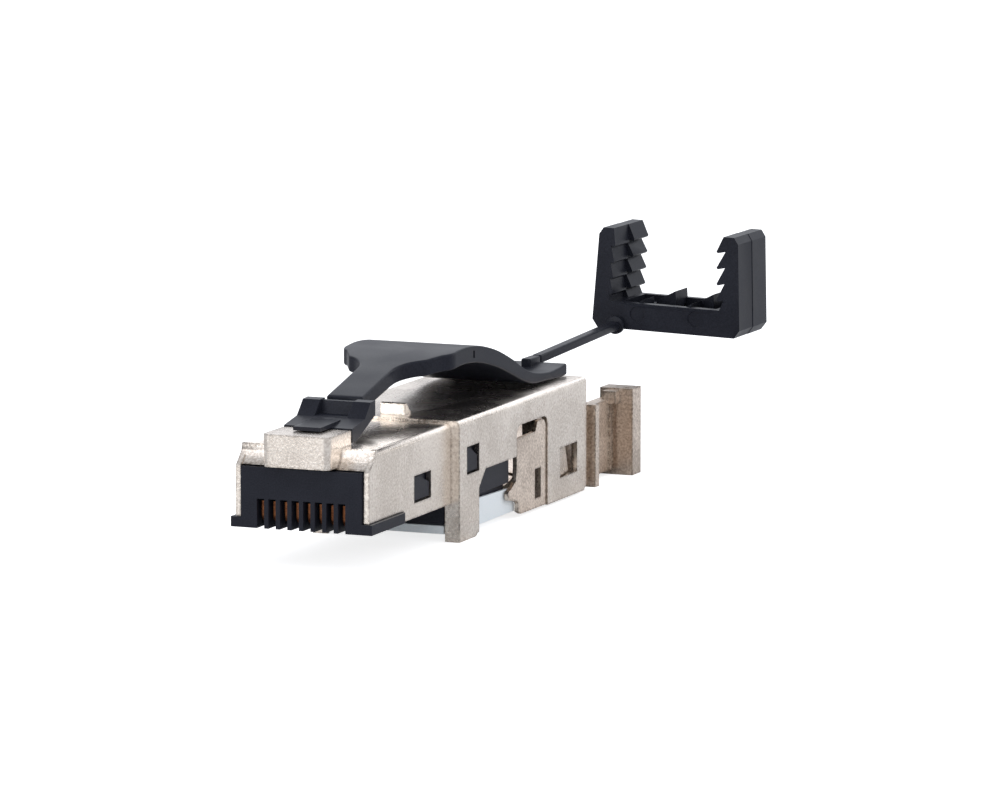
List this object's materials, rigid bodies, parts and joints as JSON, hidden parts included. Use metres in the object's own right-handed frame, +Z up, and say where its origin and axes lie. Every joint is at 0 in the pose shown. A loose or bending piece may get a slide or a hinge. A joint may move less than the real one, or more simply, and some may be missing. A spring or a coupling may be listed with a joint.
{
  "type": "field termination ethernet plug",
  "caption": "Shielded modular data plug for fitting on site: folded metal shell, arched release lever over the latch, cable collar and a tethered U-shaped strain relief clip with barbs.",
  "frame": {"origin": "on the front face of the contact carrier, on the centre line, at half the nose's height", "axes": "+X to the plug's right seen from the front with the latch up, +Y from the front face to the cable, +Z up to the latch"},
  "size_m": [0.0208, 0.072, 0.0207],
  "materials": {
    "nickel_sheet": "satin nickel plate",
    "nickel_casting": "satin nickel plate",
    "gold_contact": "polished gold plate",
    "tinned_bronze": "matt tin plate",
    "board": "satin",
    "pale_plastic": "satin",
    "black_plastic": "satin"
  },
  "bodies": {
    "plug": {"shell": "nickel_sheet", "contact_carrier": "black_plastic", "contact_1": "gold_contact", "contact_2": "gold_contact", "contact_3": "gold_contact", "contact_4": "gold_contact", "contact_5": "gold_contact", "contact_6": "gold_contact", "contact_7": "gold_contact", "contact_8": "gold_contact", "circuit_board": "board", "idc_block": "black_plastic", "idc_terminal_1": "tinned_bronze", "idc_terminal_2": "tinned_bronze", "idc_terminal_3": "tinned_bronze", "idc_terminal_4": "tinned_bronze", "idc_terminal_5": "tinned_bronze", "idc_terminal_6": "tinned_bronze", "idc_terminal_7": "tinned_bronze", "idc_terminal_8": "tinned_bronze", "cable_collar": "nickel_casting"},
    "cap": {"wire_cap": "pale_plastic"},
    "tab": {"latch_tab": "black_plastic"},
    "lever": {"release_lever": "black_plastic"},
    "tether": {"strap": "black_plastic", "strain_relief_clip": "black_plastic"}
  },
  "joints": [
    {"name": "lever_press", "type": "hinge", "parent": "plug", "child": "lever", "pos_m": [0, 0.04438, 0.00413], "axis": [1, 0, 0], "range_deg": [0, 1.45], "stiffness_Nm_per_rad": 6},
    {"name": "tab_flex", "type": "hinge", "parent": "plug", "child": "tab", "pos_m": [0, 0.0036, 0.0037], "axis": [-1, 0, 0], "range_deg": [0, 12], "stiffness_Nm_per_rad": 0.000002, "springref_deg": -20.05},
    {"name": "cap_slide", "type": "slide", "parent": "plug", "child": "cap", "axis": [0, 0, -1], "range_m": [0, 0.006]},
    {"name": "strap_bend", "type": "hinge", "parent": "lever", "child": "tether", "pos_m": [0.002, 0.04539, 0.0048], "axis": [1, 0, 0], "range_deg": [-15, 60], "stiffness_Nm_per_rad": 0.02}
  ],
  "couplings": [
    {"joint": "tab_flex", "follows": "lever_press", "ratio": 8.2759}
  ]
}
